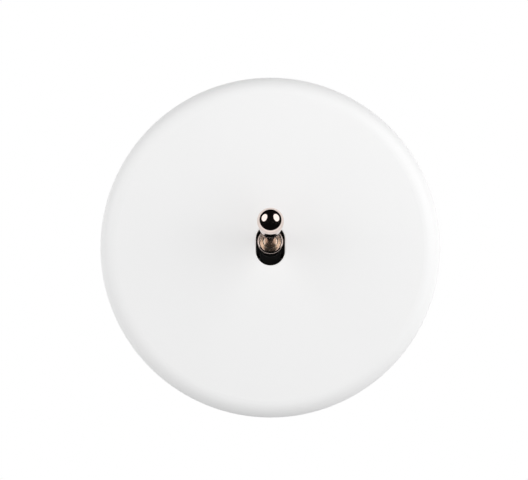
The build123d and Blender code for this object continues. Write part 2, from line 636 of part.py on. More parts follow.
def main():
    pieces = {
        "cover_plate": cover_plate(),
        "clip_ring": clip_ring(),
        "support_frame": support_frame(),
        "housing_cover": housing_cover(),
        "housing_base": housing_base(),
        "pivot_pin": pivot_pin(),
        "cradle": cradle(),
        "lever_insert": lever_insert(),
        "lever": lever(),
        "plunger": plunger(),
        "return_spring": return_spring(),
        "contact_bridge": contact_bridge(),
        "contact_spring": contact_spring(),
        "bridge_tips": bridge_tips(),
        "fixed_tips": fixed_tips(),
        "fixed_contact_right": fixed_contact(),
        "fixed_contact_left": left_of(fixed_contact()),
        "terminal_right": terminal(),
        "terminal_left": left_of(terminal()),
        "terminal_screw_right": terminal_screw(),
        "terminal_screw_left": left_of(terminal_screw()),
        "frame_screws": frame_screws(),
    }
    os.makedirs("parts", exist_ok=True)
    for name, piece in pieces.items():
        export_step(piece, os.path.join("parts", name + ".step"))


main()
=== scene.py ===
import json
from math import ceil, cos, pi, radians, sin, tan

import bpy
from bpy.props import FloatProperty, FloatVectorProperty, IntProperty, PointerProperty
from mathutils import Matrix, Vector


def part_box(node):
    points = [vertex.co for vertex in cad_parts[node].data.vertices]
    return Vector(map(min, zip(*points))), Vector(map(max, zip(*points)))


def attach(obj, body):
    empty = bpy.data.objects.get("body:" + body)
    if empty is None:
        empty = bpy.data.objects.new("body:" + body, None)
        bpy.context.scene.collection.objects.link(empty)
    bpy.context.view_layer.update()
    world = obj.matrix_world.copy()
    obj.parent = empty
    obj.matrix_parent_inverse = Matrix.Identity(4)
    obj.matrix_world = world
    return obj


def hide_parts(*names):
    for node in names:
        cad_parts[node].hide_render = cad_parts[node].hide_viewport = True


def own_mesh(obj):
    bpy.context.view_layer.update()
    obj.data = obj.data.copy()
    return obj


bl_info = {
    "name": "Lever pushbutton",
    "version": (1, 0, 0),
    "blender": (4, 5, 0),
    "location": "View3D > Sidebar > Lever pushbutton",
    "description": "Dresses a wall-mounted lever pushbutton and sets up its studio",
    "category": "Object",
}

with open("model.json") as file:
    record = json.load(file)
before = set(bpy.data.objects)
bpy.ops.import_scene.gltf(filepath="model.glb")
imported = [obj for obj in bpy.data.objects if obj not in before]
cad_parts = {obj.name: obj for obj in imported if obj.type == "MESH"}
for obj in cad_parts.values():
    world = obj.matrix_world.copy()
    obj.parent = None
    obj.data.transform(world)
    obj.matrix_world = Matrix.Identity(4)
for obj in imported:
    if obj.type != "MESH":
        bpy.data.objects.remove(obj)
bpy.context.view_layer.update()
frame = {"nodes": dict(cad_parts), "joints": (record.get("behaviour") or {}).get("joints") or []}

MM = 0.001
JOINTS = {joint["name"]: joint for joint in frame["joints"]}
PIVOT = Vector(JOINTS["lever_tilt"]["pos_m"])
PLATE_LOW, PLATE_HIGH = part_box("cover_plate")
PLATE_RADIUS = (PLATE_HIGH[0] - PLATE_LOW[0]) / 2
PLATE_FRONT = PLATE_LOW[1]
LEVER_LOW, LEVER_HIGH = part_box("lever")
BALL_DIAMETER = LEVER_HIGH[0] - LEVER_LOW[0]

# How finely round shapes are divided.
ARC_STEP = radians(3)
FEWEST_ARC_STEPS = 4
LATHE_STEPS = 160
POINTS_PER_COIL = 24
WIRE_ROUNDNESS = 4
FLOOR_SIDES = 96

# How far a closed end coil of a spring climbs, in thicknesses of its wire.
CLOSED_PITCH = 1.06

# Points this near are one point, and cuts are this exact.
MERGE_DISTANCE = 0.001 * MM
CUT_TOLERANCE = 0.0001 * MM

# Edges that turn by more than this stay crisp.
CRISP_TURNED = radians(30)
CRISP_GROUND = radians(40)

# A noise pattern seldom leaves these values.
NOISE_LOW = 0.3
NOISE_HIGH = 0.7


def linear(hex_colour):
    """A linear colour from an sRGB hex value."""
    channels = [int(hex_colour[place : place + 2], 16) / 255 for place in (0, 2, 4)]
    return [
        value / 12.92 if value <= 0.04045 else ((value + 0.055) / 1.055) ** 2.4
        for value in channels
    ]


def length(name, description, millimetres):
    """A length property whose default is given in millimetres."""
    return FloatProperty(
        name=name,
        description=description,
        default=millimetres * MM,
        unit="LENGTH",
        precision=5,
    )


def angle(name, description, degrees):
    """An angle property whose default is given in degrees."""
    return FloatProperty(name=name, description=description, default=radians(degrees), subtype="ANGLE")


def amount(name, description, default):
    """A plain number property."""
    return FloatProperty(name=name, description=description, default=default)


def count(name, description, default):
    """A whole number property."""
    return IntProperty(name=name, description=description, default=default)


def direction(name, description, heading):
    """A direction property."""
    return FloatVectorProperty(name=name, description=description, default=heading, subtype="DIRECTION")


def colour(name, description, hex_colour):
    """A colour property whose default is an sRGB hex value."""
    return FloatVectorProperty(
        name=name,
        description=description,
        default=linear(hex_colour),
        subtype="COLOR",
        size=3,
        min=0,
        max=1,
    )


class LeverSizes(bpy.types.PropertyGroup):
    """Sizes of the turned lever. Reaches run along its axis from the pivot."""

    rise: angle("Rise", "How far the lever points up at rest", 17)
    ball_reach: length("Ball reach", "From the pivot to the middle of the ball", 26.2)
    handle_taper: angle("Handle taper", "Slope of the handle's side", 7)
    handle_reach: length("Handle reach", "Where the handle begins to draw in", 17.5)
    handle_rounding: length("Handle rounding", "Radius where the handle draws in", 6)
    neck_diameter: length("Neck diameter", "Thickness of the neck", 3.2)
    neck_reach: length("Neck reach", "Where the neck begins", 14)
    neck_rounding: length("Neck rounding", "Radius where the neck begins", 3)
    dish_slope: angle("Dish slope", "Slope of the collar's dished front", 28)
    dish_reach: length("Dish reach", "Where the dish meets the neck", 5.8)
    dish_rounding: length("Dish rounding", "Radius at the foot of the neck", 0.5)
    collar_diameter: length("Collar diameter", "Width of the collar", 7.6)
    collar_reach: length("Collar reach", "Where the collar sits on the cradle", 5.2)
    collar_lip: length("Collar lip", "Radius of the collar's lip", 0.5)
    collar_edge: length("Collar edge", "Radius of the collar's rear edge", 0.2)
    stud_diameter: length("Stud diameter", "Thickness of the stud in the cradle", 3)
    stud_length: length("Stud length", "Depth of the stud in the cradle", 2.8)


class SpringSizes(bpy.types.PropertyGroup):
    """Sizes of the two compression springs."""

    return_diameter: length("Return spring", "Outer diameter of the return spring", 6.4)
    return_wire: length("Return wire", "Wire of the return spring", 0.6)
    return_coils: count("Return coils", "Coils between the closed ends", 4)
    contact_diameter: length("Contact spring", "Outer diameter of the contact spring", 4.4)
    contact_wire: length("Contact wire", "Wire of the contact spring", 0.4)
    contact_coils: count("Contact coils", "Coils between the closed ends", 2)


class FinishColours(bpy.types.PropertyGroup):
    """Colours of the finishes."""

    glaze: colour("Glaze", "White of the glazed porcelain", "F1F1F1")
    biscuit: colour("Biscuit", "Unglazed porcelain of the foot and the hollow back", "E9E3D8")
    nickel: colour("Nickel", "Warm nickel plating", "EDDDD5")
    # Painted reflection: a warmer colour for the dish, standing in for light bounced between dish and neck.
    dish_painted_warmth: colour("Dish painted warmth", "Warmer colour painted in the dish, a painted reflection", "EEDBCB")
    black: colour("Black", "Black moulded plastics", "151515")
    grey: colour("Grey", "Light grey moulding of the base", "A2A4A4")
    zinc: colour("Zinc", "Bright zinc plating", "C6CACE")
    steel: colour("Steel", "Bare steel of pin and springs", "B4B4B6")
    brass: colour("Brass", "Plain brass", "D8B468")
    copper: colour("Copper", "Copper alloy strip", "D08C66")
    silver: colour("Silver", "Silver of the contact rivets", "E4E2DC")
    paper: colour("Paper", "White of the studio paper", "F4F4F2")
    fibre: colour("Fibre", "Darker fibre in the studio paper", "F0F0EE")


class StudioSettings(bpy.types.PropertyGroup):
    """Camera, lamps and surroundings."""

    camera_distance: length("Camera distance", "From the wall surface to the camera", 1000)
    camera_left: length("Camera left", "How far the camera stands left of the plate's middle", 1.86)
    camera_up: length("Camera up", "How far the camera stands above the plate's middle", 2.25)
    photo_width: count("Photo width", "Picture width in pixels", 528)
    plate_pixels: count("Plate pixels", "Plate width in pixels", 340)
    left_distance: length("Left distance", "From the plate to the left softbox", 1500)
    right_distance: length("Right distance", "From the plate to the right softbox", 380)
    lamp_width: length("Lamp width", "Width of a softbox that stands a metre away", 930)
    lamp_height: length("Lamp height", "Height of a softbox that stands a metre away", 1060)
    lamp_roll: angle("Lamp roll", "How far each softbox is rolled about its own beam", 18)
    left_heading: direction("Left heading", "Way to the left softbox", (-0.77, -0.45, 0.453))
    right_heading: direction("Right heading", "Way to the right softbox", (0.736, -0.5, 0.459))
    left_power: amount("Left power", "Power of the left softbox, a metre away", 3.2)
    right_power: amount("Right power", "Power of the right softbox, a metre away", 3.3)
    room_light: amount("Room light", "Light that the bright room gives", 0.96)
    floor_drop: length("Floor drop", "From the plate's middle down to the floor", 120)
    floor_radius: length("Floor radius", "Radius of the round floor", 500)


GROUPS = {
    "lever_sizes": LeverSizes,
    "spring_sizes": SpringSizes,
    "finish_colours": FinishColours,
    "studio_settings": StudioSettings,
}


def add(tree, kind, settings=None, links=None):
    """Adds one node with its settings and with links into its inputs."""
    node = tree.nodes.new(kind)
    for name, value in (settings or {}).items():
        if isinstance(name, int) or name in node.inputs:
            node.inputs[name].default_value = value
        else:
            setattr(node, name, value)
    for name, source in (links or {}).items():
        tree.links.new(source, node.inputs[name])
    return node


def surface(name, settings):
    """A new material: its node tree, its shader and the piece's own coordinates."""
    material = bpy.data.materials.new(name)
    material.use_nodes = True
    tree = material.node_tree
    tree.nodes.clear()
    shader = add(tree, "ShaderNodeBsdfPrincipled", settings)
    add(tree, "ShaderNodeOutputMaterial", links={"Surface": shader.outputs["BSDF"]})
    place = add(tree, "ShaderNodeTexCoord").outputs["Object"]
    return material, tree, shader, place


def rgba(values):
    """A colour property's value for a node socket."""
    return (*values, 1)


def shade_of(values, share):
    """A darker shade of a colour property's value."""
    return (*[value * share for value in values], 1)


def tint_of(values, share):
    """A paler tint of a colour property's value."""
    return (*[value + share * (1 - value) for value in values], 1)


def glazed_porcelain(colours):
    # Hard porcelain under a clear satin glaze: a clean white with the faintest clouding, a soft shine that
    # swims a little, and a dull, creamy biscuit on the foot, which was wiped bare before firing, and in the
    # hollow back.
    cloud_width = 18 * MM
    cloud_shade = 0.985
    swim_width = 7 * MM
    grit_width = 0.3 * MM
    relief_height = 0.03 * MM
    foot_start = -0.9 * MM
    foot_end = -0.5 * MM
    hollow_radius = PLATE_RADIUS - 4.8 * MM
    hollow_front = PLATE_FRONT + 3.9 * MM
    glaze_roughness = 0.42
    biscuit_roughness = 0.7
    material, tree, shader, place = surface("Glazed porcelain", {"IOR": 1.5, "Specular IOR Level": 0.4})
    cloud = add(
        tree,
        "ShaderNodeTexNoise",
        {"Scale": 1 / cloud_width, "Detail": 2.0},
        {"Vector": place},
    )
    glaze = add(
        tree,
        "ShaderNodeMix",
        {"data_type": "RGBA", 6: shade_of(colours.glaze, cloud_shade), 7: rgba(colours.glaze)},
        {0: cloud.outputs["Fac"]},
    )
    depth = add(tree, "ShaderNodeSeparateXYZ", links={"Vector": place})
    foot = add(
        tree,
        "ShaderNodeMapRange",
        {"From Min": foot_start, "From Max": foot_end},
        {"Value": depth.outputs["Y"]},
    )
    flat = add(
        tree,
        "ShaderNodeVectorMath",
        {"operation": "MULTIPLY", 1: (1, 0, 1)},
        {0: place},
    )
    radius = add(tree, "ShaderNodeVectorMath", {"operation": "LENGTH"}, {0: flat.outputs["Vector"]})
    inside = add(
        tree,
        "ShaderNodeMath",
        {"operation": "LESS_THAN", 1: hollow_radius},
        {0: radius.outputs["Value"]},
    )
    behind = add(
        tree,
        "ShaderNodeMath",
        {"operation": "GREATER_THAN", 1: hollow_front},
        {0: depth.outputs["Y"]},
    )
    hollow = add(
        tree,
        "ShaderNodeMath",
        {"operation": "MULTIPLY"},
        {0: inside.outputs["Value"], 1: behind.outputs["Value"]},
    )
    bare = add(
        tree,
        "ShaderNodeMath",
        {"operation": "MAXIMUM"},
        {0: foot.outputs["Result"], 1: hollow.outputs["Value"]},
    )
    tint = add(
        tree,
        "ShaderNodeMix",
        {"data_type": "RGBA", 7: rgba(colours.biscuit)},
        {0: bare.outputs["Value"], 6: glaze.outputs[2]},
    )
    gloss = add(
        tree,
        "ShaderNodeMapRange",
        {"To Min": glaze_roughness, "To Max": biscuit_roughness},
        {"Value": bare.outputs["Value"]},
    )
    swim = add(
        tree,
        "ShaderNodeTexNoise",
        {"Scale": 1 / swim_width, "Detail": 1.0},
        {"Vector": place},
    )
    grit = add(
        tree,
        "ShaderNodeTexNoise",
        {"Scale": 1 / grit_width, "Detail": 3.0},
        {"Vector": place},
    )
    relief = add(
        tree,
        "ShaderNodeMix",
        links={0: bare.outputs["Value"], 2: swim.outputs["Fac"], 3: grit.outputs["Fac"]},
    )
    bump = add(
        tree,
        "ShaderNodeBump",
        {"Strength": 0.25, "Distance": relief_height},
        {"Height": relief.outputs[0]},
    )
    tree.links.new(tint.outputs[2], shader.inputs["Base Color"])
    tree.links.new(gloss.outputs["Result"], shader.inputs["Roughness"])
    tree.links.new(bump.outputs["Normal"], shader.inputs["Normal"])
    return material


def polished_nickel(colours, sizes):
    # Brass, turned, polished and nickel plated: a warm mirror on ball and handle. Down in the dish, where the
    # polishing wheel reaches less well, the gloss is softer and mottled, and the colour is painted warmer: a
    # painted reflection of the warm light that bounces between dish and neck.
    collar_radius = sizes.collar_diameter / 2
    # Where the dish's softer gloss and its painted warmer colour begin and reach full strength.
    dish_mask_start = sizes.dish_reach + 2.4 * MM
    dish_mask_full = sizes.dish_reach + 1.2 * MM
    lip_inside = collar_radius - 0.45 * MM
    dish_outside = collar_radius - 0.85 * MM
    mottle_width = 0.7 * MM
    film_width = 4 * MM
    film_shade = 0.96
    film_height = 0.02 * MM
    mirror_roughness = 0.07
    bright_roughness = 0.2
    hazy_roughness = 0.3
    material, tree, shader, place = surface("Polished warm nickel", {"Metallic": 1.0})
    along = lever_axis(sizes)
    from_pivot = add(
        tree,
        "ShaderNodeVectorMath",
        {"operation": "SUBTRACT", 1: PIVOT},
        {0: place},
    )
    reach = add(
        tree,
        "ShaderNodeVectorMath",
        {"operation": "DOT_PRODUCT", 1: along},
        {0: from_pivot.outputs["Vector"]},
    )
    deep = add(
        tree,
        "ShaderNodeMapRange",
        {"From Min": dish_mask_start, "From Max": dish_mask_full},
        {"Value": reach.outputs["Value"]},
    )
    around = add(
        tree,
        "ShaderNodeVectorMath",
        {"operation": "CROSS_PRODUCT", 1: along},
        {0: from_pivot.outputs["Vector"]},
    )
    radius = add(tree, "ShaderNodeVectorMath", {"operation": "LENGTH"}, {0: around.outputs["Vector"]})
    within = add(
        tree,
        "ShaderNodeMapRange",
        {"From Min": lip_inside, "From Max": dish_outside},
        {"Value": radius.outputs["Value"]},
    )
    dish = add(
        tree,
        "ShaderNodeMath",
        {"operation": "MULTIPLY"},
        {0: deep.outputs["Result"], 1: within.outputs["Result"]},
    )
    mottle = add(
        tree,
        "ShaderNodeTexNoise",
        {"Scale": 1 / mottle_width, "Detail": 2.0},
        {"Vector": place},
    )
    haze = add(
        tree,
        "ShaderNodeMapRange",
        {"From Min": NOISE_LOW, "From Max": NOISE_HIGH, "To Min": bright_roughness, "To Max": hazy_roughness},
        {"Value": mottle.outputs["Fac"]},
    )
    gloss = add(
        tree,
        "ShaderNodeMix",
        {2: mirror_roughness},
        {0: dish.outputs["Value"], 3: haze.outputs["Result"]},
    )
    film = add(
        tree,
        "ShaderNodeTexNoise",
        {"Scale": 1 / film_width, "Detail": 3.0},
        {"Vector": place},
    )
    plating = add(
        tree,
        "ShaderNodeMix",
        {"data_type": "RGBA", 6: shade_of(colours.nickel, film_shade), 7: rgba(colours.nickel)},
        {0: film.outputs["Fac"]},
    )
    # Painted reflection: the dish is tinted warmer, for the light bounced between dish and neck.
    tint = add(
        tree,
        "ShaderNodeMix",
        {"data_type": "RGBA", 7: rgba(colours.dish_painted_warmth)},
        {0: dish.outputs["Value"], 6: plating.outputs[2]},
    )
    bump = add(
        tree,
        "ShaderNodeBump",
        {"Strength": 0.05, "Distance": film_height},
        {"Height": film.outputs["Fac"]},
    )
    tree.links.new(tint.outputs[2], shader.inputs["Base Color"])
    tree.links.new(gloss.outputs[0], shader.inputs["Roughness"])
    tree.links.new(bump.outputs["Normal"], shader.inputs["Normal"])
    return material


def soft_edges(tree, radius):
    """A normal that rounds sharp edges over a radius, and a mask that grows to 1 along those edges."""
    match_on_flat = 0.995
    match_on_edge = 0.9
    soft = add(tree, "ShaderNodeBevel", {"samples": 6, "Radius": radius})
    flat = add(tree, "ShaderNodeNewGeometry")
    match = add(
        tree,
        "ShaderNodeVectorMath",
        {"operation": "DOT_PRODUCT"},
        {0: soft.outputs["Normal"], 1: flat.outputs["Normal"]},
    )
    edge = add(
        tree,
        "ShaderNodeMapRange",
        {"From Min": match_on_flat, "From Max": match_on_edge},
        {"Value": match.outputs["Value"]},
    )
    return soft.outputs["Normal"], edge.outputs["Result"]


def moulded_plastic(name, tone, grain, relief, dull, bright):
    """Filled plastic from a spark-eroded mould: fine even grain, specks of filler and painted edge
    highlights.

    Its gloss drifts between bright and dull, where the melt flowed."""
    edge_radius = 0.3 * MM
    # Sharp edges are painted paler by this share: a painted edge highlight.
    edge_highlight_share = 0.12
    flow_width = 11 * MM
    # The filler's specks are drawn about three times too coarse, so that they show in a picture of the
    # whole piece.
    filler_width = 1.1 * MM
    filler_share = 0.6
    speck_low = 0.38
    speck_high = 0.62
    speck_shade = 0.84
    material, tree, shader, place = surface(name, {"IOR": 1.5})
    rounded_normal, edge = soft_edges(tree, edge_radius)
    flow = add(
        tree,
        "ShaderNodeTexNoise",
        {"Scale": 1 / flow_width, "Detail": 3.0, "Distortion": 0.6},
        {"Vector": place},
    )
    grains = add(
        tree,
        "ShaderNodeTexNoise",
        {"Scale": 1 / grain, "Detail": 2.0},
        {"Vector": place},
    )
    filler = add(
        tree,
        "ShaderNodeTexNoise",
        {"Scale": 1 / filler_width, "Detail": 4.0, "Roughness": 0.7},
        {"Vector": place},
    )
    clouded = add(
        tree,
        "ShaderNodeMix",
        {0: filler_share},
        {2: flow.outputs["Fac"], 3: filler.outputs["Fac"]},
    )
    speckle = add(
        tree,
        "ShaderNodeMapRange",
        {"From Min": speck_low, "From Max": speck_high},
        {"Value": clouded.outputs[0]},
    )
    tint = add(
        tree,
        "ShaderNodeMix",
        {"data_type": "RGBA", 6: shade_of(tone, speck_shade), 7: rgba(tone)},
        {0: speckle.outputs["Result"]},
    )
    # Painted highlight: the tone is painted paler along sharp edges.
    painted_edge_highlight = add(
        tree,
        "ShaderNodeMix",
        {"data_type": "RGBA", 7: tint_of(tone, edge_highlight_share)},
        {0: edge, 6: tint.outputs[2]},
    )
    gloss = add(
        tree,
        "ShaderNodeMapRange",
        {"From Min": NOISE_LOW, "From Max": NOISE_HIGH, "To Min": bright, "To Max": dull},
        {"Value": flow.outputs["Fac"]},
    )
    bump = add(
        tree,
        "ShaderNodeBump",
        {"Strength": 0.4, "Distance": relief},
        {"Height": grains.outputs["Fac"], "Normal": rounded_normal},
    )
    tree.links.new(painted_edge_highlight.outputs[2], shader.inputs["Base Color"])
    tree.links.new(gloss.outputs["Result"], shader.inputs["Roughness"])
    tree.links.new(bump.outputs["Normal"], shader.inputs["Normal"])
    return material


def worked_metal(name, tone, marks, patch, dull, bright, relief):
    """Rolled, drawn or plated metal, clouded in patches, with painted highlights along its edges.

    The marks are the spacings of its working lines along X, Y and Z."""
    edge_radius = 0.2 * MM
    # Sharp edges are painted paler by this share: a painted edge highlight.
    edge_highlight_share = 0.3
    patch_shade = 0.8
    patch_share = 0.5
    material, tree, shader, place = surface(name, {"Metallic": 1.0})
    rounded_normal, edge = soft_edges(tree, edge_radius)
    lines = add(
        tree,
        "ShaderNodeMapping",
        {"Scale": [1 / spacing for spacing in marks]},
        {"Vector": place},
    )
    grain = add(
        tree,
        "ShaderNodeTexNoise",
        {"Scale": 1.0, "Detail": 3.0},
        {"Vector": lines.outputs["Vector"]},
    )
    stain = add(
        tree,
        "ShaderNodeTexNoise",
        {"Scale": 1 / patch, "Detail": 4.0, "Distortion": 0.4},
        {"Vector": place},
    )
    tint = add(
        tree,
        "ShaderNodeMix",
        {"data_type": "RGBA", 6: shade_of(tone, patch_shade), 7: rgba(tone)},
        {0: stain.outputs["Fac"]},
    )
    # Painted highlight: the tone is painted paler along sharp edges.
    painted_edge_highlight = add(
        tree,
        "ShaderNodeMix",
        {"data_type": "RGBA", 7: tint_of(tone, edge_highlight_share)},
        {0: edge, 6: tint.outputs[2]},
    )
    blend = add(
        tree,
        "ShaderNodeMix",
        {0: patch_share},
        {2: grain.outputs["Fac"], 3: stain.outputs["Fac"]},
    )
    gloss = add(
        tree,
        "ShaderNodeMapRange",
        {"From Min": NOISE_LOW, "From Max": NOISE_HIGH, "To Min": bright, "To Max": dull},
        {"Value": blend.outputs[0]},
    )
    bump = add(
        tree,
        "ShaderNodeBump",
        {"Strength": 0.3, "Distance": relief},
        {"Height": grain.outputs["Fac"], "Normal": rounded_normal},
    )
    tree.links.new(painted_edge_highlight.outputs[2], shader.inputs["Base Color"])
    tree.links.new(gloss.outputs["Result"], shader.inputs["Roughness"])
    tree.links.new(bump.outputs["Normal"], shader.inputs["Normal"])
    return material


def dress(node_name, material):
    """Gives a CAD node its finish."""
    for slot in frame["nodes"][node_name].material_slots:
        slot.material = material


def lever_axis(sizes):
    """The lever's direction from its pivot to its ball."""
    return Vector((0, -cos(sizes.rise), sin(sizes.rise)))


def rounded(corners):
    """Outline points through corners given as x, y and a radius, with an arc where there is a radius."""
    points = []
    last = len(corners) - 1
    for place, (x, y, radius) in enumerate(corners):
        here = Vector((x, y))
        if not radius or place in (0, last):
            points.append(here)
            continue
        back = (Vector(corners[place - 1][:2]) - here).normalized()
        onward = (Vector(corners[place + 1][:2]) - here).normalized()
        half = back.angle(onward) / 2
        centre = here + (back + onward).normalized() * (radius / sin(half))
        start = here + back * (radius / tan(half)) - centre
        end = here + onward * (radius / tan(half)) - centre
        turn = pi - 2 * half
        steps = max(FEWEST_ARC_STEPS, ceil(turn / ARC_STEP))
        for step in range(steps + 1):
            share = step / steps
            arm = start * sin((1 - share) * turn) + end * sin(share * turn)
            points.append(centre + arm / sin(turn))
    return points


def turned(name, outline, centre, axis, outward):
    """A piece spun on a lathe from outline points given as radius and reach along the axis."""
    places = [centre + outward * radius + axis * reach for radius, reach in outline]
    bpy.ops.object.select_all(action="DESELECT")
    bpy.ops.mesh.primitive_plane_add(size=MM, location=places[0])
    piece = bpy.context.object
    piece.name = name
    bpy.ops.object.mode_set(mode="EDIT")
    bpy.ops.mesh.merge(type="CENTER")
    for near, far in zip(places, places[1:]):
        bpy.ops.mesh.extrude_vertices_move(TRANSFORM_OT_translate={"value": far - near})
    bpy.ops.mesh.select_all(action="SELECT")
    bpy.ops.mesh.spin(steps=LATHE_STEPS, angle=2 * pi, center=centre, axis=axis)
    bpy.ops.mesh.select_all(action="SELECT")
    bpy.ops.mesh.remove_doubles(threshold=MERGE_DISTANCE)
    bpy.ops.mesh.normals_make_consistent(inside=False)
    bpy.ops.object.mode_set(mode="OBJECT")
    bpy.ops.object.transform_apply(location=True, rotation=True, scale=True)
    bpy.ops.object.shade_smooth_by_angle(angle=CRISP_TURNED)
    return piece


def take_over(piece, node, body, material):
    """Puts a finished piece in a CAD node's place, on its body and with its finish."""
    piece.data.materials.clear()
    piece.data.materials.append(material)
    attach(piece, body)
    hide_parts(node)


def coiled(name, node, diameter, wire, coils):
    """A compression spring in a CAD spring's place, with one closed and ground coil at each end."""
    low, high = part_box(node)
    middle_z = (low[2] + high[2]) / 2
    front = low[1]
    back = high[1]
    radius = (diameter - wire) / 2
    # Grinding takes a quarter of the wire off each end, so its middle starts that far in.
    first = front + wire / 4
    end_rise = CLOSED_PITCH * wire
    rise = back - front - wire / 2 - 2 * end_rise
    last_point = (coils + 2) * POINTS_PER_COIL
    bpy.ops.object.select_all(action="DESELECT")
    bpy.ops.curve.primitive_nurbs_path_add(location=(0, 0, 0))
    piece = bpy.context.object
    piece.name = name
    spline = piece.data.splines[0]
    spline.points.add(last_point + 1 - len(spline.points))
    for place, point in enumerate(spline.points):
        turns = place / POINTS_PER_COIL
        open_turns = min(max(turns - 1, 0), coils)
        closed_turns = turns - open_turns
        depth = first + closed_turns * end_rise + open_turns * rise / coils
        bearing = 2 * pi * turns
        point.co = (radius * cos(bearing), depth, middle_z + radius * sin(bearing), 1)
    spline.order_u = 3
    spline.use_endpoint_u = True
    piece.data.resolution_u = 2
    piece.data.bevel_depth = wire / 2
    piece.data.bevel_resolution = WIRE_ROUNDNESS
    piece.data.use_fill_caps = True
    bpy.ops.object.convert(target="MESH")
    piece = bpy.context.object
    bpy.ops.object.mode_set(mode="EDIT")
    bpy.ops.mesh.select_all(action="SELECT")
    bpy.ops.mesh.remove_doubles(threshold=MERGE_DISTANCE)
    for depth, outward in ((front, -1), (back, 1)):
        bpy.ops.mesh.select_all(action="SELECT")
        bpy.ops.mesh.bisect(
            plane_co=(0, depth, 0),
            plane_no=(0, outward, 0),
            use_fill=True,
            clear_outer=True,
            threshold=CUT_TOLERANCE,
        )
    bpy.ops.mesh.select_all(action="SELECT")
    bpy.ops.mesh.normals_make_consistent(inside=False)
    bpy.ops.object.mode_set(mode="OBJECT")
    bpy.ops.object.shade_smooth_by_angle(angle=CRISP_GROUND)
    return piece


class PUSHBUTTON_OT_plate(bpy.types.Operator):
    """Glaze the porcelain plate"""

    bl_idname = "pushbutton.plate"
    bl_label = "Porcelain plate"

    def execute(self, context):
        dress("cover_plate", glazed_porcelain(context.scene.finish_colours))
        return {"FINISHED"}


class PUSHBUTTON_OT_lever(bpy.types.Operator):
    """Turn and plate the lever"""

    bl_idname = "pushbutton.lever"
    bl_label = "Lever"

    def execute(self, context):
        sizes = context.scene.lever_sizes
        ball = BALL_DIAMETER / 2
        neck = sizes.neck_diameter / 2
        collar = sizes.collar_diameter / 2
        stud = sizes.stud_diameter / 2
        lean = sin(sizes.handle_taper)
        upright = cos(sizes.handle_taper)
        handle = (ball + (sizes.handle_reach - sizes.ball_reach) * lean) / upright
        tip = sizes.ball_reach + ball
        lip = sizes.dish_reach + (collar - neck) * tan(sizes.dish_slope)
        stud_end = sizes.collar_reach - sizes.stud_length
        outline = rounded(
            [
                (0, tip, 0),
                (ball * (1 + lean) / upright, tip, ball),
                (handle, sizes.handle_reach, sizes.handle_rounding),
                (neck, sizes.neck_reach, sizes.neck_rounding),
                (neck, sizes.dish_reach, sizes.dish_rounding),
                (collar, lip, sizes.collar_lip),
                (collar, sizes.collar_reach, sizes.collar_edge),
                (stud, sizes.collar_reach, 0),
                (stud, stud_end, 0),
                (0, stud_end, 0),
            ]
        )
        nickel = polished_nickel(context.scene.finish_colours, sizes)
        lever = turned("polished_lever", outline, PIVOT, lever_axis(sizes), Vector((1, 0, 0)))
        take_over(lever, "lever", "lever", nickel)
        return {"FINISHED"}


class PUSHBUTTON_OT_springs(bpy.types.Operator):
    """Wind the return spring and the contact spring"""

    bl_idname = "pushbutton.springs"
    bl_label = "Springs"

    def execute(self, context):
        sizes = context.scene.spring_sizes
        # Hard-drawn spring wire: a grey sheen, finely broken up by the die.
        wire = worked_metal(
            "Drawn spring steel",
            context.scene.finish_colours.steel,
            marks=(0.15 * MM, 0.15 * MM, 0.15 * MM),
            patch=3 * MM,
            dull=0.42,
            bright=0.28,
            relief=0.004 * MM,
        )
        back_spring = coiled(
            "wound_return_spring",
            "return_spring",
            sizes.return_diameter,
            sizes.return_wire,
            sizes.return_coils,
        )
        take_over(back_spring, "return_spring", "fixed", wire)
        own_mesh(back_spring)
        small_spring = coiled(
            "wound_contact_spring",
            "contact_spring",
            sizes.contact_diameter,
            sizes.contact_wire,
            sizes.contact_coils,
        )
        take_over(small_spring, "contact_spring", "slider", wire)
        return {"FINISHED"}


class PUSHBUTTON_OT_mouldings(bpy.types.Operator):
    """Finish the moulded plastic pieces"""

    bl_idname = "pushbutton.mouldings"
    bl_label = "Mouldings"

    def execute(self, context):
        colours = context.scene.finish_colours
        # Black nylon: a deep black with a soft satin, slightly uneven where it cooled.
        nylon = moulded_plastic(
            "Moulded black nylon",
            colours.black,
            grain=0.25 * MM,
            relief=0.015 * MM,
            dull=0.55,
            bright=0.42,
        )
        # Black thermoset: duller and grainier, as filled resin comes out of the press.
        cover = moulded_plastic(
            "Moulded black thermoset",
            colours.black,
            grain=0.4 * MM,
            relief=0.02 * MM,
            dull=0.65,
            bright=0.5,
        )
        # Grey thermoset: a stony light grey with the filler just showing.
        base = moulded_plastic(
            "Moulded grey thermoset",
            colours.grey,
            grain=0.4 * MM,
            relief=0.02 * MM,
            dull=0.62,
            bright=0.45,
        )
        # Acetal: waxy and smoother than the rest, because it has to slide.
        acetal = moulded_plastic(
            "Moulded black acetal",
            colours.black,
            grain=0.3 * MM,
            relief=0.006 * MM,
            dull=0.34,
            bright=0.22,
        )
        dress("clip_ring", nylon)
        dress("cradle", nylon)
        dress("housing_cover", cover)
        dress("housing_base", base)
        dress("plunger", acetal)
        return {"FINISHED"}


